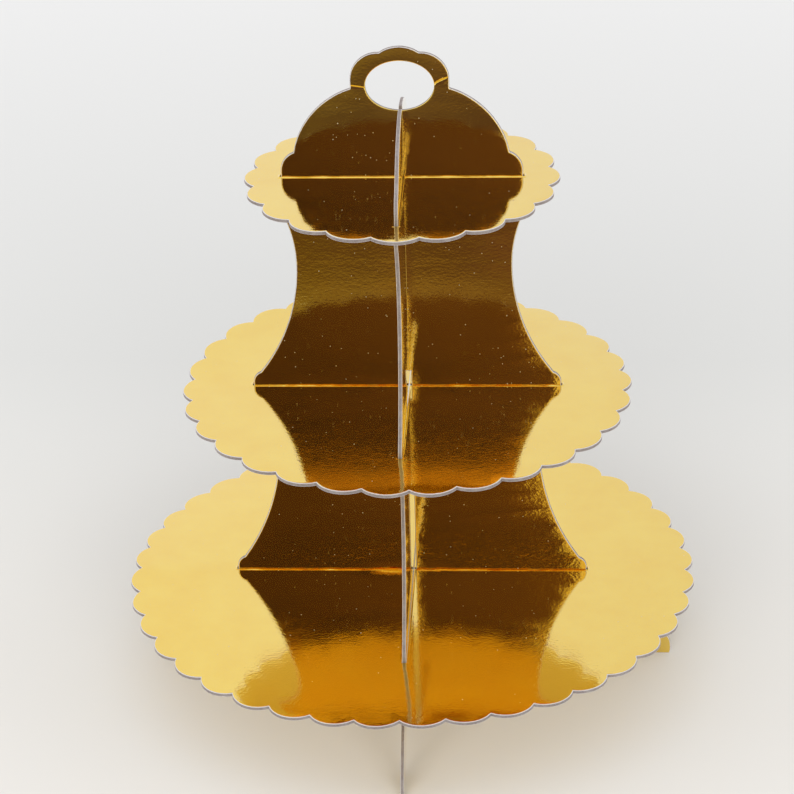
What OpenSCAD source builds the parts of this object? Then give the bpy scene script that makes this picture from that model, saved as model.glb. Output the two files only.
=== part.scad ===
// Three-tier cake stand made of five flat boards. Two upright panels cross at a
// half-lap, and three lobed round trays drop over them, each onto its own shoulders.
// Every board is a greyboard sheet with a gold foil paper on both of its faces.
// Origin: on the floor, under the crossing of the two panels. +Z is up.
// The handle panel lies in the XZ plane and the cross panel in the YZ plane.

/* [Board] */
// Thickness of a finished board
board_t = 2; // [1.4:0.1:3]
// Thickness of the foil paper on each face
foil_t = 0.3; // [0.1:0.05:0.4]

/* [Fit] */
// Gap on each side of a panel where it stands in a tray's slit
slit_gap = 0.5; // [0.2:0.1:1]
// Gap past each end of a panel where it stands in a tray's slit
slit_end_gap = 0.8; // [0.5:0.1:2]
// Gap on each side of a panel where it stands in the other panel's slot
lap_gap = 1.3; // [0.3:0.1:1.8]

/* [Trays] */
// Diameter of the bottom tray over its lobes
bottom_tray_d = 300; // [260:1:400]
// Diameter of the middle tray over its lobes
middle_tray_d = 232; // [200:1:300]
// Diameter of the top tray over its lobes
top_tray_d = 158; // [150:1:220]
// Number of lobes round the bottom tray
bottom_lobes = 40; // [24:2:60]
// Number of lobes round the middle tray
middle_lobes = 30; // [20:2:48]
// Number of lobes round the top tray
top_lobes = 20; // [14:2:32]
// Depth of the notches between the lobes
lobe_depth = 4.7; // [3:0.1:7]
// Turn of the bottom tray's lobes from the X axis, in degrees
bottom_turn = 4.5; // [0:0.5:15]
// Turn of the middle tray's lobes from the X axis, in degrees
middle_turn = 3; // [0:0.5:18]
// Turn of the top tray's lobes from the X axis, in degrees
top_turn = 0; // [0:0.5:26]

/* [Heights] */
// Height of the shoulders that carry the bottom tray
bottom_seat = 50; // [45:0.5:70]
// Height of the shoulders that carry the middle tray
middle_seat = 160.5; // [150:0.5:200]
// Height of the shoulders that carry the top tray
top_seat = 277.5; // [260:0.5:340]

/* [Panel widths] */
// Width of the panels where they pass the bottom tray
bottom_neck_w = 186; // [176:1:200]
// Width of the panels where they pass the middle tray
middle_neck_w = 159; // [146:1:170]
// Width of the panels where they pass the top tray
top_neck_w = 121; // [116:1:128]
// How far each shoulder reaches out past the slit of the tray that it carries
shoulder_reach = 6; // [4:0.5:7]
// Height of the straight end of a shoulder
shoulder_h = 6; // [3:0.5:10]
// Width of the panels at the waist between the bottom and middle trays
lower_waist_w = 136.4; // [110:0.2:140]
// Distance of that waist below the middle tray's shoulders
lower_waist_drop = 32.5; // [26:0.5:45]
// Width of the panels at the waist between the middle and top trays
upper_waist_w = 109.6; // [90:0.2:112]
// Distance of that waist below the top tray's shoulders
upper_waist_drop = 46.5; // [30:0.5:55]

/* [Collars] */
// Radius of the rounded collar that holds a tray down from above
collar_r = 6; // [4:0.5:8]
// Height of that round's centre above the tray
collar_rise = 2; // [1:0.5:4]
// Radius of the collar above the top tray
top_collar_r = 10.5; // [8:0.5:12]
// Height of its centre above the top tray
top_collar_rise = 3.5; // [1:0.5:5]

/* [Feet] */
// Distance between the tips of a panel's two feet
foot_span = 277; // [260:1:330]
// Radius of a foot's rounded tip
foot_r = 14; // [10:0.5:18]
// Height of the centre of that round
foot_rise = 4; // [2:0.5:8]
// Length of a foot's flat underside
foot_len = 20; // [14:1:26]
// Height of the arch between the feet at the middle
arch_h = 40; // [34:0.5:42]
// Height at which the arch meets the straight inner edge of a leg
arch_spring_h = 30; // [20:0.5:32]

/* [Dome and handle] */
// Radius of the two round flanks of the handle panel's dome
dome_r = 44; // [40:0.5:48]
// Distance between the centres of those flanks
dome_spread = 21; // [16:0.5:24]
// Height of those centres above the top tray
dome_rise = 5.5; // [4:0.5:8]
// Height of the top of the handle above the top tray
handle_h = 69; // [66:0.5:80]
// Width of the handle over its two sides
handle_w = 49; // [44:0.5:54]
// Radius of the handle's middle lobe
handle_lobe_r = 17; // [15:0.5:20]
// Radius of the handle's side lobes
handle_side_r = 14.1; // [13:0.1:16]
// Drop of the side lobes' centres below the middle lobe's centre
handle_side_drop = 0.2; // [0:0.1:1]
// Width of the finger hole
finger_hole_w = 34; // [28:0.5:36]
// Height of the finger hole
finger_hole_h = 26; // [20:0.5:28]
// Height of the handle's band above the finger hole
handle_band_h = 7.4; // [6:0.1:12]
// Height of the top of the cross panel above the top tray
cross_top_h = 37; // [30:0.5:38]

/* [Half-lap] */
// Height above the middle tray at which the two panels' slots meet
lap_rise = 8.5; // [4:0.5:20]

/* [Hidden] */
$fn = 180;

gold = [0.94, 0.80, 0.42];
greyboard = [0.66, 0.64, 0.61];
core_t = board_t - 2 * foil_t;
slit_w = board_t + 2 * slit_gap;
lap_w = board_t + 2 * lap_gap;

// Half widths at the slits, and of the shoulders under them
bottom_neck = bottom_neck_w / 2;
middle_neck = middle_neck_w / 2;
top_neck = top_neck_w / 2;
shoulder_past = slit_end_gap + shoulder_reach;
bottom_shoulder = bottom_neck + shoulder_past;
middle_shoulder = middle_neck + shoulder_past;
top_shoulder = top_neck + shoulder_past;

// Heights of the trays' upper faces, of the waists, the half-lap and the tops
bottom_top = bottom_seat + board_t;
middle_top = middle_seat + board_t;
top_top = top_seat + board_t;
lower_waist_z = middle_seat - lower_waist_drop;
upper_waist_z = top_seat - upper_waist_drop;
lap_z = middle_top + lap_rise;
handle_top = top_top + handle_h;
cross_top = top_top + cross_top_h;
handle_lobe_z = handle_top - handle_lobe_r;
handle_side_z = handle_lobe_z - handle_side_drop;
finger_hole_z = handle_top - handle_band_h - finger_hole_h / 2;

// A waist's curve ends this deep inside the collar, at this angle round it
collar_overlap = 0.3;
collar_angle = 65;
// How far a cut runs past the edge that it opens
cut = 5;
// How far two pieces of one outline overlap where they join
joined = 1;

// Radius of the arc that leaves the vertical at one point and is `out` away
// sideways once it is `along` away lengthways
function sweep_r(out, along) = (out * out + along * along) / (2 * out);

// Point of a collar at which the waist above it starts: [half width, height]
function collar_knee(neck, tray_z) = [
    neck - collar_r + (collar_r - collar_overlap) * cos(collar_angle),
    tray_z + collar_rise + (collar_r - collar_overlap) * sin(collar_angle),
];

// A centred block from one height to another
module block(half_w, z_low, z_high) {
    translate([-half_w, z_low]) square([2 * half_w, z_high - z_low]);
}

// The same on one side only: side is 1 for +X and -1 for -X
module side_block(side, x_in, x_out, z_low, z_high) {
    translate([side > 0 ? x_in : -x_out, z_low]) square([x_out - x_in, z_high - z_low]);
}

// The part of a panel in a tray's slit, with the rounded collar above the tray
module collar(neck, seat, tray_z, r, rise) {
    block(neck, seat - joined, tray_z + rise);
    block(neck - r, seat, tray_z + rise + r);
    for (side = [-1, 1])
        translate([side * (neck - r), tray_z + rise]) circle(r);
}

// A panel between two trays: an hourglass from a collar up to the next shoulders
module waist(neck, tray_z, waist_half, waist_z, shoulder, seat) {
    knee = collar_knee(neck, tray_z);
    low_r = sweep_r(knee.x - waist_half, waist_z - knee.y);
    high_r = sweep_r(shoulder - waist_half, seat - shoulder_h - waist_z);
    widest = max(knee.x, shoulder) + cut;
    difference() {
        block(widest, knee.y, seat);
        for (side = [-1, 1]) {
            side_block(side, knee.x, widest + cut, knee.y - cut, waist_z);
            side_block(side, shoulder, widest + cut, waist_z - cut, seat + cut);
            intersection() {
                translate([side * (waist_half + low_r), waist_z]) circle(low_r);
                side_block(side, 0, widest, knee.y - cut, waist_z + joined);
            }
            intersection() {
                translate([side * (waist_half + high_r), waist_z]) circle(high_r);
                side_block(side, 0, widest, waist_z, waist_z + high_r);
            }
        }
    }
}

// Both legs. Each outer edge runs straight from the shoulder onto the foot's round tip
module legs() {
    tip = [foot_span / 2 - foot_r, foot_rise];
    corner = [bottom_shoulder, bottom_seat - shoulder_h / 2];
    reach = norm(corner - tip);
    // The edge meets the round slightly inside its tangent point
    angle = atan2(corner.y - tip.y, corner.x - tip.x) - acos((foot_r - 0.05) / reach);
    edge = [
        [tip.x, 0],
        tip,
        tip + foot_r * [cos(angle), sin(angle)],
        corner,
        [bottom_shoulder, bottom_seat],
    ];
    polygon(concat(edge, [for (i = [len(edge) - 1 : -1 : 0]) [-edge[i].x, edge[i].y]]));
    for (side = [-1, 1]) {
        intersection() {
            translate([side * tip.x, tip.y]) circle(foot_r);
            side_block(side, tip.x - joined, tip.x + foot_r + cut, 0, tip.y + foot_r + cut);
        }
    }
}

// The open arch between the two feet
module arch() {
    foot_in = foot_span / 2 - foot_len;
    spring = foot_in - arch_spring_h;
    crown = spring - (arch_h - arch_spring_h);
    crown_r = sweep_r(arch_h - arch_spring_h, spring);
    intersection() {
        polygon([[foot_in + cut, -cut], [crown, arch_h], [-crown, arch_h], [-foot_in - cut, -cut]]);
        translate([0, arch_h - crown_r]) circle(crown_r);
    }
}

// What both panels share, from the floor to the dome's foot
module panel_body() {
    difference() {
        legs();
        arch();
    }
    collar(bottom_neck, bottom_seat, bottom_top, collar_r, collar_rise);
    waist(bottom_neck, bottom_top, lower_waist_w / 2, lower_waist_z, middle_shoulder, middle_seat);
    collar(middle_neck, middle_seat, middle_top, collar_r, collar_rise);
    waist(middle_neck, middle_top, upper_waist_w / 2, upper_waist_z, top_shoulder, top_seat);
    collar(top_neck, top_seat, top_top, top_collar_r, top_collar_rise);
}

// The handle panel: a bell dome that carries a lobed ring round the finger hole
module handle_outline() {
    side_x = handle_w / 2 - handle_side_r;
    dome_z = top_top + dome_rise;
    difference() {
        union() {
            panel_body();
            block(dome_spread / 2, top_top, dome_z + dome_r);
            block(handle_w / 2, dome_z, handle_side_z);
            translate([0, handle_lobe_z]) circle(handle_lobe_r);
            for (side = [-1, 1]) {
                translate([side * dome_spread / 2, dome_z]) circle(dome_r);
                translate([side * side_x, handle_side_z]) circle(handle_side_r);
            }
        }
        translate([0, finger_hole_z]) scale([finger_hole_w / finger_hole_h, 1])
            circle(d = finger_hole_h);
        block(lap_w / 2, -cut, lap_z);
    }
}

// The cross panel: a low dome, cut by the slot that takes the handle panel
module cross_outline() {
    foot = [dome_spread / 2 + dome_r, top_top + dome_rise];
    crown_r = sweep_r(cross_top - foot.y - dome_rise, foot.x);
    difference() {
        union() {
            panel_body();
            intersection() {
                translate([0, cross_top - crown_r]) circle(crown_r);
                block(foot.x, top_top, cross_top + cut);
            }
        }
        block(lap_w / 2, lap_z, cross_top + cut);
    }
}

// A round tray with lobes round its edge and a cross of slits for the panels
module tray_outline(d, lobes, turn, neck) {
    notch_r = d / 2 - lobe_depth;
    lobe_r = sweep_r(d / 2 - notch_r * cos(180 / lobes), notch_r * sin(180 / lobes));
    slit_l = 2 * (neck + slit_end_gap);
    difference() {
        union() {
            circle(d / 2 - 2 * lobe_depth);
            for (i = [0 : lobes - 1])
                rotate(turn + i * 360 / lobes) translate([d / 2 - lobe_r, 0]) circle(lobe_r);
        }
        square([slit_l, slit_w], center = true);
        square([slit_w, slit_l], center = true);
    }
}

// One sheet of an upright board: across = where it starts in the thickness
module upright_sheet(across, t) {
    translate([0, across, 0]) mirror([0, 1, 0]) rotate([90, 0, 0]) linear_extrude(t) children();
}

// The same, for the panel that stands across: its +X face is its right face
module cross_sheet(across, t) {
    rotate(90) upright_sheet(-across - t, t) children();
}

module handle_panel_core() {
    color(greyboard) upright_sheet(-core_t / 2, core_t) handle_outline();
}
module handle_panel_front_foil() {
    color(gold) upright_sheet(-board_t / 2, foil_t) handle_outline();
}
module handle_panel_back_foil() {
    color(gold) upright_sheet(core_t / 2, foil_t) handle_outline();
}
module cross_panel_core() {
    color(greyboard) cross_sheet(-core_t / 2, core_t) cross_outline();
}
module cross_panel_right_foil() {
    color(gold) cross_sheet(core_t / 2, foil_t) cross_outline();
}
module cross_panel_left_foil() {
    color(gold) cross_sheet(-board_t / 2, foil_t) cross_outline();
}

// The three sheets of a tray, from its underside up
module tray_under(seat) {
    color(gold) translate([0, 0, seat]) linear_extrude(foil_t) children();
}
module tray_core(seat) {
    color(greyboard) translate([0, 0, seat + foil_t]) linear_extrude(core_t) children();
}
module tray_top(seat) {
    color(gold) translate([0, 0, seat + board_t - foil_t]) linear_extrude(foil_t) children();
}

module bottom_outline() tray_outline(bottom_tray_d, bottom_lobes, bottom_turn, bottom_neck);
module middle_outline() tray_outline(middle_tray_d, middle_lobes, middle_turn, middle_neck);
module top_outline() tray_outline(top_tray_d, top_lobes, top_turn, top_neck);

module bottom_tray_core() { tray_core(bottom_seat) bottom_outline(); }
module bottom_tray_top_foil() { tray_top(bottom_seat) bottom_outline(); }
module bottom_tray_under_foil() { tray_under(bottom_seat) bottom_outline(); }
module middle_tray_core() { tray_core(middle_seat) middle_outline(); }
module middle_tray_top_foil() { tray_top(middle_seat) middle_outline(); }
module middle_tray_under_foil() { tray_under(middle_seat) middle_outline(); }
module top_tray_core() { tray_core(top_seat) top_outline(); }
module top_tray_top_foil() { tray_top(top_seat) top_outline(); }
module top_tray_under_foil() { tray_under(top_seat) top_outline(); }

handle_panel_core();
handle_panel_front_foil();
handle_panel_back_foil();
cross_panel_core();
cross_panel_right_foil();
cross_panel_left_foil();
bottom_tray_core();
bottom_tray_top_foil();
bottom_tray_under_foil();
middle_tray_core();
middle_tray_top_foil();
middle_tray_under_foil();
top_tray_core();
top_tray_top_foil();
top_tray_under_foil();
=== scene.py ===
"""Looks of the tiered cake stand: five boards of greyboard with a gold foil paper on each face.

Every sheet is rebuilt from the outline of its CAD node: the foils get rolled edges, a raw paper rim,
lips along the slits and creases, the greyboard gets a fibrous cut edge, and the trays their slight sag.
"""

import math

import bmesh
import bpy
from mathutils import Matrix, Vector, noise
from mathutils.geometry import delaunay_2d_cdt


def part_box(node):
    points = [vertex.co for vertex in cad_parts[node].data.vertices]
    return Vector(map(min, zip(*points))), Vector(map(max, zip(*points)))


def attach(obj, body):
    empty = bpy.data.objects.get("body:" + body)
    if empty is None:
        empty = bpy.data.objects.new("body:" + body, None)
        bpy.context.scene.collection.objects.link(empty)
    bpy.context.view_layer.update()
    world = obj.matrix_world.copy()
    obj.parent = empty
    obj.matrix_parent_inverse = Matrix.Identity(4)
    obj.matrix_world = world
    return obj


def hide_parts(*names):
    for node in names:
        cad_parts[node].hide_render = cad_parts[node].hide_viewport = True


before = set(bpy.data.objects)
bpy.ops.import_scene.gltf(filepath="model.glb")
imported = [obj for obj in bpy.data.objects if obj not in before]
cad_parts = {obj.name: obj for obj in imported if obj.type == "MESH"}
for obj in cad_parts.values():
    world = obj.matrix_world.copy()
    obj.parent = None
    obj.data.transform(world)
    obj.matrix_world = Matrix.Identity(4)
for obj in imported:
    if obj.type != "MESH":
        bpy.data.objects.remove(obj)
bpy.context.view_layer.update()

MM = 0.001
AXES = {"x": 0, "y": 1, "z": 2}

# ---------------------------------------------------------------- fineness of the sheets
GRID = 10 * MM                  # spacing of the points that let a board bend
COARSE, FINE = 4 * MM, 2 * MM   # longest stretch of an outline after the first and the second refining
FUZZ = 0.05 * MM                # how far the fibres of a cut edge stand out
FUZZ_SIZE = 1.3 * MM            # size of one tuft of those fibres
CORNER = math.radians(28)       # a sharper turn of an outline stays a corner
STRAIGHT = 0.005                # a smaller turn of an outline, in radians, is none
EVEN = 2.2                      # a stretch of an arc is less than this many times as long as its neighbours
CREASE_ANGLE = math.radians(42)  # faces that meet at a sharper angle keep a hard edge between them


# ---------------------------------------------------------------- outlines of the CAD sheets
def flat(co, across):
    """A point as (u, v) in the plane of a sheet whose thickness runs along `across`."""
    return {"z": (co[0], co[1]), "y": (co[0], co[2]), "x": (co[1], co[2])}[across]


def solid(u, v, w, across):
    """The point (u, v) of a sheet at the place w along its thickness."""
    return {"z": (u, v, w), "y": (u, w, v), "x": (w, u, v)}[across]


def area_of(loop):
    return sum(a[0] * b[1] - b[0] * a[1] for a, b in zip(loop, loop[1:] + loop[:1])) / 2


def outlines(node, across):
    """The closed outlines of a CAD sheet: the outer one counter-clockwise, the holes clockwise."""
    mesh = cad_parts[node].data
    k = AXES[across]
    places, counts, ends = {}, {}, {}

    def key(i):
        p = flat(mesh.vertices[i].co, across)
        q = (round(p[0] * 1e6), round(p[1] * 1e6))
        places.setdefault(q, p)
        return q

    for face in mesh.polygons:
        if face.normal[k] > 0.9:
            ring = [key(i) for i in face.vertices]
            for a, b in zip(ring, ring[1:] + ring[:1]):
                pair = frozenset((a, b))
                counts[pair] = counts.get(pair, 0) + 1
    for pair, count in counts.items():
        if count % 2 and len(pair) == 2:
            a, b = pair
            ends.setdefault(a, []).append(b)
            ends.setdefault(b, []).append(a)
    loops, left = [], set(ends)
    while left:
        start = min(left)
        ring, here, before = [], start, None
        while True:
            ring.append(here)
            left.discard(here)
            ahead = [q for q in ends[here] if q != before]
            before, here = here, ahead[0]
            if here == start:
                break
        loops.append([places[q] for q in ring])
    loops.sort(key=lambda l: -abs(area_of(l)))
    return [l if (area_of(l) > 0) == (i == 0) else l[::-1] for i, l in enumerate(loops)]


def turn_at(a, b, c):
    """How far a line a-b-c turns at b."""
    u, v = (b[0] - a[0], b[1] - a[1]), (c[0] - b[0], c[1] - b[1])
    return math.atan2(u[0] * v[1] - u[1] * v[0], u[0] * v[0] + u[1] * v[1])


def smoothed(loop, longest):
    """The outline with its arcs refined by the four-point rule, and its other stretches cut to `longest`."""
    out, n = [], len(loop)
    for i in range(n):
        a, b, c, d = (loop[(i + j) % n] for j in (-1, 0, 1, 2))
        length = math.dist(b, c)
        turns = abs(turn_at(a, b, c)), abs(turn_at(b, c, d))
        even = length < EVEN * min(math.dist(a, b), math.dist(c, d))
        out.append(b)
        if even and STRAIGHT < max(turns) < CORNER:
            out.append(tuple((9 * (b[k] + c[k]) - a[k] - d[k]) / 16 for k in (0, 1)))
        elif length > longest:
            parts = math.ceil(length / longest)
            for j in range(1, parts):
                out.append(tuple(b[k] + (c[k] - b[k]) * j / parts for k in (0, 1)))
    return out


def inward(loop):
    """Unit step into the material at each point of an outline, up to twice as long at its corners."""
    steps, n = [], len(loop)
    for i in range(n):
        a, b, c = loop[i - 1], loop[i], loop[(i + 1) % n]
        e, f = Vector((b[0] - a[0], b[1] - a[1])), Vector((c[0] - b[0], c[1] - b[1]))
        e.normalize()
        f.normalize()
        m = Vector((-e.y - f.y, e.x + f.x))
        m.normalize()
        steps.append(m / max(0.5, m.dot(Vector((-e.y, e.x)))))
    return steps


# ---------------------------------------------------------------- sheets
# A rim runs from the glued side of a sheet to its free face. Each step is (inset from the outline,
# depth below the free face, wear), both in mm: wear 1 is bare paper and wear 0 is whole foil.
ROLLED_RIM = [(0, 0.20, 1), (0.24, 0.09, 1), (0.34, 0.05, 0.55), (0.52, 0.012, 0.2), (0.8, 0, 0)]
HOLE_RIM = [(0, 0.27, 0.3), (0.04, 0.17, 0), (0.14, 0.09, 0), (0.30, 0.035, 0), (0.5, 0.008, 0),
            (0.8, 0, 0)]
# A negative depth stands up above the face
SLIT_LIP = [(-0.20, 0.14, 0.3), (-0.27, -0.10, 0.1), (-0.2, -0.30, 0), (0.0, -0.42, 0), (0.22, -0.34, 0),
            (0.42, -0.17, 0), (0.58, -0.04, 0), (0.8, 0, 0), (1.5, 0, 0)]
LIP_WAVE, LIP_WAVE_SIZE = 0.8, 9 * MM    # a lip's height varies in long waves by this share of it,
LIP_CRUMB, LIP_CRUMB_SIZE = 0.4, 2 * MM  # and in short ones by this share,
LIP_LEAST = 0.2                          # but it keeps at least this share,
LIP_ACROSS = 0.2                         # and has this share of it along the slit for the cross panel
# The cut edge of a core: (inset in mm, share of its thickness)
BOARD_EDGE = [(0, 0.0), (-0.03, 0.16), (0.03, 0.34), (-0.04, 0.52), (0.02, 0.7), (-0.03, 0.86), (0, 1.0)]


def roughly(point, size, seed):
    """Smooth noise from -1 to 1 at a point, with bumps of about this size."""
    return noise.noise(Vector(point) / size + Vector((seed * 7.3, seed * 3.1, seed * 5.7)))


def within(point, loop):
    """Whether a point lies inside a closed outline."""
    inside = False
    for a, b in zip(loop, loop[1:] + loop[:1]):
        if (a[1] > point[1]) != (b[1] > point[1]):
            if point[0] < a[0] + (b[0] - a[0]) * (point[1] - a[1]) / (b[1] - a[1]):
                inside = not inside
    return inside


def fill(bm, rings, across):
    """Closes one side of a sheet with triangles; their inner edges are marked as seams."""
    verts = [v for ring in rings for v in ring]
    flats = [[flat(v.co, across) for v in ring] for ring in rings]
    owner = [number for number, ring in enumerate(rings) for _ in ring]
    edges, start = [], 0
    for ring in rings:
        n = len(ring)
        edges += [(start + i, start + (i + 1) % n) for i in range(n)]
        start += n
    rim = set(bm.edges)
    places = [Vector(p) for loop in flats for p in loop]
    spots, _, faces, origin, _, _ = delaunay_2d_cdt(places, edges, [], 1, 1e-8)
    level = verts[0].co[AXES[across]]
    corners = [verts[o[0]] if o else bm.verts.new(solid(p.x, p.y, level, across))
               for p, o in zip(spots, origin)]
    for face in faces:
        owners = {owner[origin[i][0]] if origin[i] else -1 for i in face}
        if len(owners) == 1 and max(owners) > 0:
            centre = [sum(spots[i][k] for i in face) / 3 for k in (0, 1)]
            if within(centre, flats[max(owners)]):
                continue
        bm.faces.new([corners[i] for i in face])
    for edge in bm.edges:
        if edge not in rim:
            edge.seam = True


def cut_by(bm, planes):
    """Cuts the mesh along planes, each given as a point and a normal."""
    for place, normal in planes:
        geom = bm.verts[:] + bm.edges[:] + bm.faces[:]
        bmesh.ops.bisect_plane(bm, geom=geom, dist=1e-7, plane_co=place, plane_no=normal)


def foil_rows(loop, rim, across, face, glued, free, seed):
    """Rows of points from a foil's glued side over its rim to its free face. What stands up does so
    unevenly, and mostly along x."""
    steps = inward(loop)
    rows = [[solid(p[0], p[1], glued, across) for p in loop]]
    for inset, depth, _ in rim:
        row = []
        for p, s in zip(loop, steps):
            here = (p[0], p[1], 0)
            wave = LIP_WAVE * roughly(here, LIP_WAVE_SIZE, seed)
            crumb = LIP_CRUMB * roughly(here, LIP_CRUMB_SIZE, seed + 3)
            share = 1.0 if abs(p[0]) > abs(p[1]) else LIP_ACROSS
            d = depth * share * max(LIP_LEAST, 1 + wave + crumb) if depth < 0 else depth
            row.append(solid(p[0] + s.x * inset * MM, p[1] + s.y * inset * MM, free - face * d * MM, across))
        rows.append(row)
    return rows


def board_rows(loop, across, low, high, seed):
    """Rows of points up the cut edge of a greyboard, slightly fibrous."""
    steps = inward(loop)
    rows = []
    for inset, share in BOARD_EDGE:
        w = low + (high - low) * share
        row = []
        for p, s in zip(loop, steps):
            push = inset * MM + FUZZ * roughly((p[0], p[1], w), FUZZ_SIZE, seed)
            row.append(solid(p[0] + s.x * push, p[1] + s.y * push, w, across))
        rows.append(row)
    return rows


def sheet(name, node, across, face, rims=(), bend=None, planes=(), gridded=False, seed=1):
    """Builds a sheet in the place of its CAD node. face is 1 or -1 for a foil's free side, 0 for a core.
    rims are the rims of its outline and of its hole, planes are cuts that give it more points, and bend moves
    its points. gridded cuts it into squares."""
    k = AXES[across]
    low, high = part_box(node)[0][k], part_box(node)[1][k]
    bm = bmesh.new()
    wear = bm.verts.layers.float.new("wear")
    first, last = [], []
    for number, loop in enumerate(outlines(node, across)):
        loop = smoothed(smoothed(loop, COARSE), FINE)
        if face:
            rim = rims[min(number, len(rims) - 1)]
            free, glued = (high, low) if face > 0 else (low, high)
            rows = foil_rows(loop, rim, across, face, glued, free, seed)
            wears = [1.0] + [w for _, _, w in rim]
        else:
            rows = board_rows(loop, across, low, high, seed)
            wears = [1.0] * len(rows)
        made = [[bm.verts.new(p) for p in row] for row in rows]
        for row, value in zip(made, wears):
            for v in row:
                v[wear] = value
        for lower, upper in zip(made, made[1:]):
            n = len(lower)
            for i in range(n):
                j = (i + 1) % n
                bm.faces.new((lower[i], lower[j], upper[j], upper[i]))
        first.append(made[0])
        last.append(made[-1])
    fill(bm, first, across)
    fill(bm, last, across)
    cut_by(bm, planes)
    if gridded:
        lo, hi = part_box(node)
        for axis in (0, 1):
            count = int((hi[axis] - lo[axis]) / GRID)
            normal = Vector((0, 0, 0))
            normal[axis] = 1
            cut_by(bm, [(normal * (i + 0.5) * GRID, normal) for i in range(-count // 2, count // 2 + 1)])
        inner = [e for e in bm.edges if e.seam and len(e.link_faces) == 2]
        bmesh.ops.dissolve_edges(bm, edges=inner, use_verts=True, use_face_split=False)
    bmesh.ops.recalc_face_normals(bm, faces=bm.faces[:])
    if bend:
        for v in bm.verts:
            v.co = bend(v.co)
    mesh = bpy.data.meshes.new(name)
    bm.to_mesh(mesh)
    bm.free()
    mesh.edges.foreach_set("use_seam", [False] * len(mesh.edges))
    mesh.polygons.foreach_set("use_smooth", [True] * len(mesh.polygons))
    mesh.set_sharp_from_angle(angle=CREASE_ANGLE)
    piece = bpy.data.objects.new(name, mesh)
    bpy.context.scene.collection.objects.link(piece)
    return piece


# ---------------------------------------------------------------- how the boards bend
# How far in mm each quarter of a tray rises or sags at its rim, keyed by (right half, back half)
BOTTOM_SAG = {(False, False): -3.6, (False, True): -2.0, (True, False): -0.4, (True, True): 0.0}
MIDDLE_SAG = {(False, False): 0.0, (False, True): 2.4, (True, False): 0.0, (True, True): -1.5}

# How the left and the right half of a tray's front lip hang: from which share of the radius, by how many mm
BOTTOM_HANG = ((0.70, 0.6), (0.70, 0.5))
MIDDLE_HANG = ((0.80, 0.3), (0.76, 0.5))
HANG_BLEND = 24 * MM  # width over which one half's hang passes into the other's

# Where the bottom tray stands up a little in front of its slit: place along x, width and height in mm
CURLS = ((-11 * MM, 9 * MM, 0.9), (13 * MM, 7 * MM, 0.35))
CURL_REACH = 5 * MM
# Cuts along the slit, which give the bottom tray the points that it curls by
CURL_ROWS = [(Vector((0, y * MM, 0)), Vector((0, 1, 0))) for y in (-2, -3.5, -7.5, -9)]


def sag(tier, corners, fronts):
    """A tray's bend: its quarters between the panels sag, the halves of its front lip hang, and the bottom
    tray curls up along its slit."""
    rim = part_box(f"{tier}_tray_core")[1].x

    def bend(co):
        out = math.hypot(co.x, co.y) / rim
        quarter = corners[(co.x > 0, co.y > 0)] * 2 * abs(co.x * co.y) / (rim * rim) * out * out
        hang = 0.0
        for side, (start, drop) in zip((-1, 1), fronts):
            ahead = max(0.0, -co.y / rim - start) / (1 - start)
            share = min(1.0, max(0.0, 0.5 + side * co.x / HANG_BLEND))
            hang += share * drop * ahead * ahead
        curl = 0.0
        if co.y < 0 and tier == "bottom":
            for along, wide, height in CURLS:
                curl += height * math.exp(-((co.x - along) / wide) ** 2 - (co.y / CURL_REACH) ** 2)
        return Vector((co.x, co.y, co.z + MM * (quarter - hang + curl)))
    return bend


# The handle panel bows between these heights, by this many mm
LOW_SEAT, MID_SEAT, TOP_SEAT = (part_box(f"{tier}_tray_core")[1].z for tier in ("bottom", "middle", "top"))
LOWER_BOW, UPPER_BOW = -0.9, -0.2
# Level cuts, which give the handle panel the points that it bows by
BOW_ROWS = [(Vector((0, 0, i * GRID)), Vector((0, 0, 1))) for i in range(1, 33)]

# Creases across the two arms of the handle's ring: a point (x, z) on each, and its lean in degrees
CREASES = ((-20.5 * MM, 327.5 * MM, -8), (20.3 * MM, 330.5 * MM, 25))
CREASE_W = 0.7 * MM      # half the width of a crease
CREASE_DEPTH = 0.3       # in mm
CREASE_LOW = 318 * MM    # the creases stay above this height


def crease_lines():
    """Planes along each crease and both its sides, and the plane's normal."""
    lines = []
    for x, z, lean in CREASES:
        across = Vector((-math.sin(math.radians(lean)), 0, math.cos(math.radians(lean))))
        lines += [(Vector((x, 0, z)) + across * (side * CREASE_W), across) for side in (-1, 0, 1)]
    return lines


def bow(co):
    """The handle panel's slight bow between the trays, and the creases of its ring."""
    amount = 0.0
    if LOW_SEAT < co.z < MID_SEAT:
        amount = LOWER_BOW * math.sin(math.pi * (co.z - LOW_SEAT) / (MID_SEAT - LOW_SEAT))
    elif MID_SEAT < co.z < TOP_SEAT:
        amount = UPPER_BOW * math.sin(2 * math.pi * (co.z - MID_SEAT) / (TOP_SEAT - MID_SEAT))
    for x, z, lean in CREASES:
        turn = math.radians(lean)
        off = abs((co.z - z) * math.cos(turn) - (co.x - x) * math.sin(turn))
        if co.x * x > 0 and co.z > CREASE_LOW and off < CREASE_W:
            amount += CREASE_DEPTH * (1 - off / CREASE_W)
    return Vector((co.x, co.y + amount * MM, co.z))


# ---------------------------------------------------------------- materials
def nodes_of(name):
    """A new material, its node tree and its main shader."""
    material = bpy.data.materials.new(name)
    material.use_nodes = True
    tree = material.node_tree
    shader = tree.nodes["Principled BSDF"]
    return material, tree, shader


def add(tree, kind, **settings):
    """A new node; each setting is one of its inputs, or else one of its properties."""
    node = tree.nodes.new(kind)
    for key, value in settings.items():
        if key in node.inputs:
            node.inputs[key].default_value = value
        else:
            setattr(node, key, value)
    return node


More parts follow.
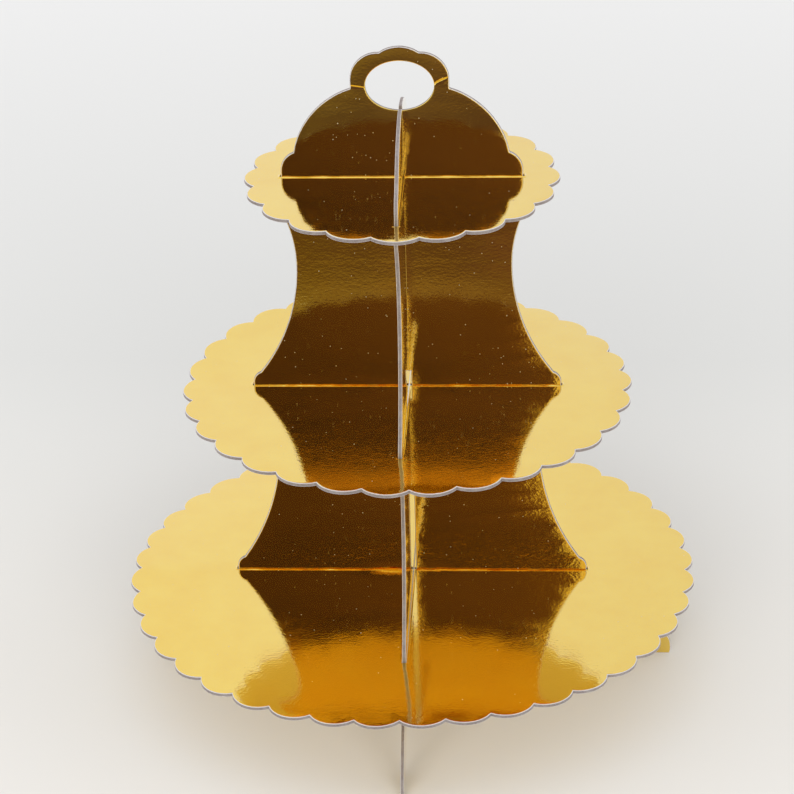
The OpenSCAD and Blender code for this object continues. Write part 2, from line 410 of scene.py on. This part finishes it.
def noise_at(tree, scale, stretch=(1, 1, 1), turn=(0, 0, 0), detail=2.0, rough=0.5):
    """A noise on the sheet itself, `scale` bumps to the metre."""
    place = add(tree, "ShaderNodeTexCoord")
    mapping = add(tree, "ShaderNodeMapping", Scale=stretch, Rotation=turn)
    tex = add(tree, "ShaderNodeTexNoise", Scale=scale, Detail=detail, Roughness=rough)
    tree.links.new(place.outputs["Object"], mapping.inputs["Vector"])
    tree.links.new(mapping.outputs["Vector"], tex.inputs["Vector"])
    return tex.outputs["Fac"]


def ramp(tree, value, stops):
    """A colour ramp; each stop is (place from 0 to 1, grey or colour)."""
    node = add(tree, "ShaderNodeValToRGB")
    elements = node.color_ramp.elements
    while len(elements) < len(stops):
        elements.new(0.5)
    for element, (place, grey) in zip(elements, stops):
        element.position = place
        element.color = (*grey, 1) if isinstance(grey, tuple) else (grey, grey, grey, 1)
    tree.links.new(value, node.inputs["Fac"])
    return node.outputs["Color"]


def maths(tree, operation, a, b):
    """One calculation with two values; each is a number or a socket."""
    node = add(tree, "ShaderNodeMath", operation=operation)
    for socket, value in zip(node.inputs, (a, b)):
        if isinstance(value, (int, float)):
            socket.default_value = value
        else:
            tree.links.new(value, socket)
    return node.outputs["Value"]


def mixed(tree, factor, a, b):
    """Colour a where the factor is 0 and b where it is 1; each is a colour or a socket."""
    node = add(tree, "ShaderNodeMix", data_type="RGBA")
    tree.links.new(factor, node.inputs[0])
    for socket, value in ((node.inputs[6], a), (node.inputs[7], b)):
        if isinstance(value, tuple):
            socket.default_value = (*value, 1)
        else:
            tree.links.new(value, socket)
    return node.outputs[2]


def bumped(tree, height, distance, before=None):
    """A normal tilted by a height map, on top of the normal `before`."""
    node = add(tree, "ShaderNodeBump", Distance=distance, Strength=1.0)
    tree.links.new(height, node.inputs["Height"])
    if before:
        tree.links.new(before, node.inputs["Normal"])
    return node.outputs["Normal"]


# Colours of the foil, of its thinner smears, of the bare paper under it and of dust
GOLD = (0.895, 0.645, 0.12)
GOLD_THIN = (0.875, 0.60, 0.10)
PAPER = (0.80, 0.77, 0.78)
DUST = (0.75, 0.68, 0.55)

# Pressed fibres of the greyboard, dark and light, and its paler blotches
FIBRE_DARK = (0.26, 0.215, 0.205)
FIBRE_LIGHT = (0.43, 0.38, 0.37)
BLOTCH = (0.52, 0.47, 0.46)

# Kinds of dust: (cells to the metre, share of the cells left empty, size of a speck as a share of its cell)
SPECKS = ((170.0, 0.80, 0.05), (420.0, 0.83, 0.10))
RIPPLE_HEIGHT, WAVE_HEIGHT = 0.02 * MM, 0.06 * MM


def dust_on(tree, plane_of):
    """Sparse specks, thrown on the sheet's own plane: 1 on a speck and 0 elsewhere."""
    place = add(tree, "ShaderNodeTexCoord")
    mapping = add(tree, "ShaderNodeMapping", Scale=plane_of)
    tree.links.new(place.outputs["Object"], mapping.inputs["Vector"])
    specks = None
    for scale, share, size in SPECKS:
        cells = add(tree, "ShaderNodeTexVoronoi", Scale=scale, feature="F1")
        tree.links.new(mapping.outputs["Vector"], cells.inputs["Vector"])
        chosen = ramp(tree, cells.outputs["Color"], [(share, 0.0), (share + 0.03, 1.0)])
        dot = ramp(tree, cells.outputs["Distance"], [(size * 0.6, 1.0), (size * 1.3, 0.0)])
        made = maths(tree, "MULTIPLY", dot, chosen)
        specks = made if specks is None else maths(tree, "MAXIMUM", specks, made)
    return specks


def foil(name, plane_of, grain, turn, peel_height):
    """Mirror-like gold foil: orange peel along the grain, faint smears, dust, and bare paper at worn rims.
    plane_of is 0 on the axis of the sheet's thickness, grain stretches the peel and turn leans it."""
    material, tree, shader = nodes_of(name)
    shader.inputs["IOR"].default_value = 1.45
    shader.inputs["Coat Weight"].default_value = 1.0
    shader.inputs["Coat IOR"].default_value = 1.5
    shader.inputs["Coat Roughness"].default_value = 0.03

    wear = add(tree, "ShaderNodeAttribute", attribute_name="wear").outputs["Fac"]
    crumble = maths(tree, "MULTIPLY", maths(tree, "SUBTRACT", noise_at(tree, 900, detail=3), 0.5), 1.1)
    worn = ramp(tree, maths(tree, "ADD", wear, crumble), [(0.5, 0.0), (0.62, 1.0)])
    dust = dust_on(tree, plane_of)
    smear = noise_at(tree, 38, turn=turn, detail=3, rough=0.6)
    gold = mixed(tree, ramp(tree, smear, [(0.35, 0.0), (0.7, 1.0)]), GOLD, GOLD_THIN)
    colour = mixed(tree, dust, mixed(tree, worn, gold, PAPER), DUST)
    tree.links.new(colour, shader.inputs["Base Color"])
    bare = maths(tree, "MAXIMUM", worn, dust)
    tree.links.new(maths(tree, "SUBTRACT", 1.0, bare), shader.inputs["Metallic"])
    shine = ramp(tree, smear, [(0.3, 0.035), (0.75, 0.075)])
    tree.links.new(mixed(tree, bare, shine, (0.7, 0.7, 0.7)), shader.inputs["Roughness"])

    peel = noise_at(tree, 850, stretch=grain, turn=turn, detail=2.5, rough=0.55)
    ripple = noise_at(tree, 260, stretch=grain, turn=turn, detail=1.0)
    waves = noise_at(tree, 45, detail=1.0)
    normal = bumped(tree, peel, peel_height)
    normal = bumped(tree, ripple, RIPPLE_HEIGHT, normal)
    normal = bumped(tree, waves, WAVE_HEIGHT, normal)
    tree.links.new(normal, shader.inputs["Normal"])
    return material


def greyboard():
    """Cut edge of a greyboard: matt pressed fibres in faint layers."""
    material, tree, shader = nodes_of("greyboard_edge")
    fibres = noise_at(tree, 1500, detail=3, rough=0.6)
    blotch = noise_at(tree, 190, detail=2)
    colour = mixed(tree, ramp(tree, fibres, [(0.3, 0.0), (0.7, 1.0)]), FIBRE_DARK, FIBRE_LIGHT)
    colour = mixed(tree, ramp(tree, blotch, [(0.45, 0.0), (0.75, 0.6)]), colour, BLOTCH)
    tree.links.new(colour, shader.inputs["Base Color"])
    shader.inputs["Roughness"].default_value = 0.9
    tree.links.new(bumped(tree, fibres, FUZZ), shader.inputs["Normal"])
    return material


LEAN = 0.5  # how far the peel of the upright panels leans, in radians
TRAY_FOIL = foil("tray_gold_foil", (1, 1, 0), (0.7, 1, 1), (0, 0, 0.06), 0.032 * MM)
HANDLE_FOIL = foil("handle_panel_gold_foil", (1, 0, 1), (0.6, 1, 1), (0, LEAN, 0), 0.032 * MM)
CROSS_FOIL = foil("cross_panel_gold_foil", (0, 1, 1), (1, 0.5, 1), (LEAN, 0, 0), 0.04 * MM)
BOARD = greyboard()


# ---------------------------------------------------------------- the boards
def dress(piece, body, node, material):
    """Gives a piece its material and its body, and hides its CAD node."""
    piece.data.materials.append(material)
    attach(piece, body)
    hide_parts(node)


def tray(tier, bend, seed):
    """A tray: its core and a foil on each side."""
    body = f"{tier}_tray"
    for part, face in (("core", 0), ("top_foil", 1), ("under_foil", -1)):
        node = f"{body}_{part}"
        rims = (ROLLED_RIM, SLIT_LIP if face > 0 else ROLLED_RIM)
        rows = CURL_ROWS if tier == "bottom" else ()
        piece = sheet(f"{body}.{part}", node, "z", face, rims, bend, rows, gridded=True, seed=seed)
        dress(piece, body, node, TRAY_FOIL if face else BOARD)


def panel(body, across, low_foil, high_foil, material, bend, seed):
    """An upright panel. low_foil and high_foil end its foils' names on the low and the high side."""
    for part, face in (("core", 0), (low_foil, -1), (high_foil, 1)):
        node = f"{body}_{part}"
        rows = BOW_ROWS + crease_lines() if bend else ()
        piece = sheet(f"{body}.{part}", node, across, face, (ROLLED_RIM, HOLE_RIM), bend, rows, seed=seed)
        dress(piece, body, node, material if face else BOARD)


tray("bottom", sag("bottom", BOTTOM_SAG, BOTTOM_HANG), 1)
tray("middle", sag("middle", MIDDLE_SAG, MIDDLE_HANG), 2)
tray("top", None, 3)
panel("handle_panel", "y", "front_foil", "back_foil", HANDLE_FOIL, bow, 4)
panel("cross_panel", "x", "left_foil", "right_foil", CROSS_FOIL, None, 5)


# ---------------------------------------------------------------- floor, light and camera
def plane(name, corners):
    """A flat stage piece with these corners."""
    mesh = bpy.data.meshes.new(name)
    mesh.from_pydata(corners, [], [tuple(range(len(corners)))])
    obj = bpy.data.objects.new(name, mesh)
    bpy.context.scene.collection.objects.link(obj)
    return obj


def rectangle(x0, x1, y0, y1, z=0.0):
    """Corners of a level rectangle."""
    return [(x0, y0, z), (x1, y0, z), (x1, y1, z), (x0, y1, z)]


def card(name, corners, shade):
    """A studio card that only the foil mirrors. shade makes its colour from its object coordinates."""
    obj = plane(name, corners)
    material = bpy.data.materials.new(name)
    material.use_nodes = True
    tree = material.node_tree
    tree.nodes.remove(tree.nodes["Principled BSDF"])
    emission = add(tree, "ShaderNodeEmission", Strength=1.0)
    tree.links.new(emission.outputs[0], tree.nodes["Material Output"].inputs["Surface"])
    split = add(tree, "ShaderNodeSeparateXYZ")
    tree.links.new(add(tree, "ShaderNodeTexCoord").outputs["Object"], split.inputs["Vector"])
    tree.links.new(shade(tree, split.outputs), emission.inputs["Color"])
    obj.data.materials.append(material)
    obj.visible_camera = False
    obj.visible_diffuse = False
    obj.visible_shadow = False
    obj.visible_transmission = False
    return obj


def graded(tree, value, low, high, stops):
    """A colour ramp over a coordinate from low to high."""
    span = add(tree, "ShaderNodeMapRange")
    span.inputs["From Min"].default_value = low
    span.inputs["From Max"].default_value = high
    tree.links.new(value, span.inputs["Value"])
    return ramp(tree, span.outputs["Result"], [((place - low) / (high - low), painted_floor_shade) for place, painted_floor_shade in stops])


def times(tree, a, b):
    """The product of two colours."""
    node = add(tree, "ShaderNodeMix", data_type="RGBA", blend_type="MULTIPLY")
    node.inputs[0].default_value = 1.0
    tree.links.new(a, node.inputs[6])
    tree.links.new(b, node.inputs[7])
    return node.outputs[2]


def dim_floor(tree, at):
    """What lies on the floor in front of the pale sheet: warm and dim, browner to the right, cloudy."""
    along = graded(tree, at["Y"], -1.0, -0.42, [(-0.95, (0.19, 0.13, 0.08)), (-0.88, (0.145, 0.095, 0.065)),
                                                (-0.78, (0.10, 0.065, 0.055)), (-0.66, (0.12, 0.072, 0.05)),
                                                (-0.58, (0.10, 0.048, 0.035)), (-0.525, (0.14, 0.08, 0.045)),
                                                (-0.49, (0.19, 0.12, 0.05)), (-0.465, (0.23, 0.155, 0.065)),
                                                (-0.44, (0.26, 0.18, 0.08))])
    aside = graded(tree, at["X"], -0.12, 0.08, [(-0.12, (1.06, 1.12, 0.9)), (0.08, (0.95, 0.82, 1.0))])
    cloud = ramp(tree, noise_at(tree, 14, detail=3), [(0.3, 0.72), (0.7, 1.3)])
    return times(tree, times(tree, along, aside), cloud)


def dim_room(tree, at):
    """The unlit room in front of the stand: darker to the left, and bright above the height of a head."""
    upward = graded(tree, at["Z"], 0.75, 1.15, [(0.79, (0.125, 0.07, 0.07)), (0.86, (0.10, 0.055, 0.07)),
                                                (0.905, (0.14, 0.078, 0.08)), (0.93, (0.085, 0.049, 0.07)),
                                                (0.955, (0.045, 0.030, 0.065)), (1.025, (0.040, 0.028, 0.06)),
                                                (1.055, (0.42, 0.24, 0.08)), (1.10, (0.57, 0.32, 0.10))])
    aside = graded(tree, at["X"], -0.3, 0.13, [(-0.25, 0.72), (0.04, 1.08), (0.075, 1.3), (0.128, 2.0)])
    cloud = ramp(tree, noise_at(tree, 6, detail=3), [(0.3, 0.8), (0.7, 1.2)])
    return times(tree, times(tree, upward, aside), cloud)


floor = plane("floor", rectangle(-6, 6, -6, 6))
floor_material, floor_tree, floor_shader = nodes_of("floor_paper_painted_shade")
split = add(floor_tree, "ShaderNodeSeparateXYZ")
floor_tree.links.new(add(floor_tree, "ShaderNodeTexCoord").outputs["Object"], split.inputs["Vector"])
# Painted shade: the floor's colour is darker and warmer towards the front and paler far behind. It stands in
# for how the light falls off across the floor, not for a tone of the paper.
painted_floor_shade = graded(floor_tree, split.outputs["Y"], -0.45, 1.1,
              [(-0.42, (0.36, 0.325, 0.27)), (-0.24, (0.55, 0.53, 0.50)), (-0.16, (0.62, 0.605, 0.58)),
               (0.05, (0.63, 0.62, 0.60)), (0.35, (0.61, 0.61, 0.60)), (1.1, (0.775, 0.775, 0.775))])
floor_tree.links.new(painted_floor_shade, floor_shader.inputs["Base Color"])
floor_shader.inputs["Roughness"].default_value = 0.9
floor_shader.inputs["Specular IOR Level"].default_value = 0.0
floor.data.materials.append(floor_material)

DIM_LEFT, DIM_RIGHT, DIM_NEAR, DIM_FAR, DIM_LEVEL = -0.9, 0.14, -2.1, -0.425, 0.001
ROOM_LEFT, ROOM_RIGHT, ROOM_Y, ROOM_TOP = -0.5, 0.13, -1.42, 1.25
card("dim_floor", rectangle(DIM_LEFT, DIM_RIGHT, DIM_NEAR, DIM_FAR, DIM_LEVEL), dim_floor)
card("dim_room", [(ROOM_LEFT, ROOM_Y, 0), (ROOM_RIGHT, ROOM_Y, 0),
                  (ROOM_RIGHT, ROOM_Y, ROOM_TOP), (ROOM_LEFT, ROOM_Y, ROOM_TOP)], dim_room)

# An even pale sky, a little dimmer on the right
world = bpy.data.worlds.new("studio")
bpy.context.scene.world = world
world.use_nodes = True
sky = world.node_tree
heading = add(sky, "ShaderNodeSeparateXYZ")
sky.links.new(add(sky, "ShaderNodeTexCoord").outputs["Generated"], heading.inputs["Vector"])
evenness = graded(sky, heading.outputs["X"], -0.2, 0.1, [(-0.15, 1.0), (0.06, 0.925)])
sky.links.new(evenness, sky.nodes["Background"].inputs["Color"])
sky.nodes["Background"].inputs["Strength"].default_value = 0.97


lit_floor = bpy.data.collections.new("lit_by_low_fills")
bpy.context.scene.collection.children.link(lit_floor)
lit_floor.objects.link(floor)


FILL_AWAY, FILL_HEIGHT, FILL_TILT = 1.9, 0.55, math.radians(74)
FILL_W, FILL_H = 2.4, 0.8


def low_fill(name, turn, energy):
    """A wide soft light near the horizon that reaches the floor under the trays, and only the floor."""
    data = bpy.data.lights.new(name, "AREA")
    data.shape = "RECTANGLE"
    data.size, data.size_y = FILL_W, FILL_H
    data.energy = energy
    lamp = bpy.data.objects.new(name, data)
    bpy.context.scene.collection.objects.link(lamp)
    lamp.location = (FILL_AWAY * math.sin(turn), -FILL_AWAY * math.cos(turn), FILL_HEIGHT)
    lamp.rotation_euler = (FILL_TILT, 0, turn)
    lamp.visible_glossy = False
    lamp.light_linking.receiver_collection = lit_floor


low_fill("front_fill", 0.0, 60)
low_fill("left_fill", -math.pi / 2, 12)
low_fill("right_fill", math.pi / 2, 12)

# The photograph's camera, fitted to its outlines: it looks at TARGET from DISTANCE away
AZIMUTH, ELEVATION, ROLL = math.radians(3.444), math.radians(27.451), math.radians(-1.586)
DISTANCE = 1.5558
TARGET = Vector((-0.0055, 0, 0.1552))
LENS = 136.05
camera_data = bpy.data.cameras.new("camera")
camera = bpy.data.objects.new("camera", camera_data)
bpy.context.scene.collection.objects.link(camera)
level = math.cos(ELEVATION)
back = Vector((math.sin(AZIMUTH) * level, -math.cos(AZIMUTH) * level, math.sin(ELEVATION)))
camera.location = TARGET + back * DISTANCE
camera.rotation_mode = "QUATERNION"
camera.rotation_quaternion = (-back).to_track_quat("-Z", "Y") @ Matrix.Rotation(ROLL, 4, "Z").to_quaternion()
camera_data.lens = LENS
camera_data.sensor_width = 36
camera_data.clip_start, camera_data.clip_end = 0.05, 50
bpy.context.scene.camera = camera

bpy.context.scene.view_settings.view_transform = "Standard"
# Enough bounces for the light between the trays
bpy.context.scene.cycles.max_bounces = 16
bpy.context.scene.cycles.glossy_bounces = 12
bpy.context.scene.cycles.diffuse_bounces = 4
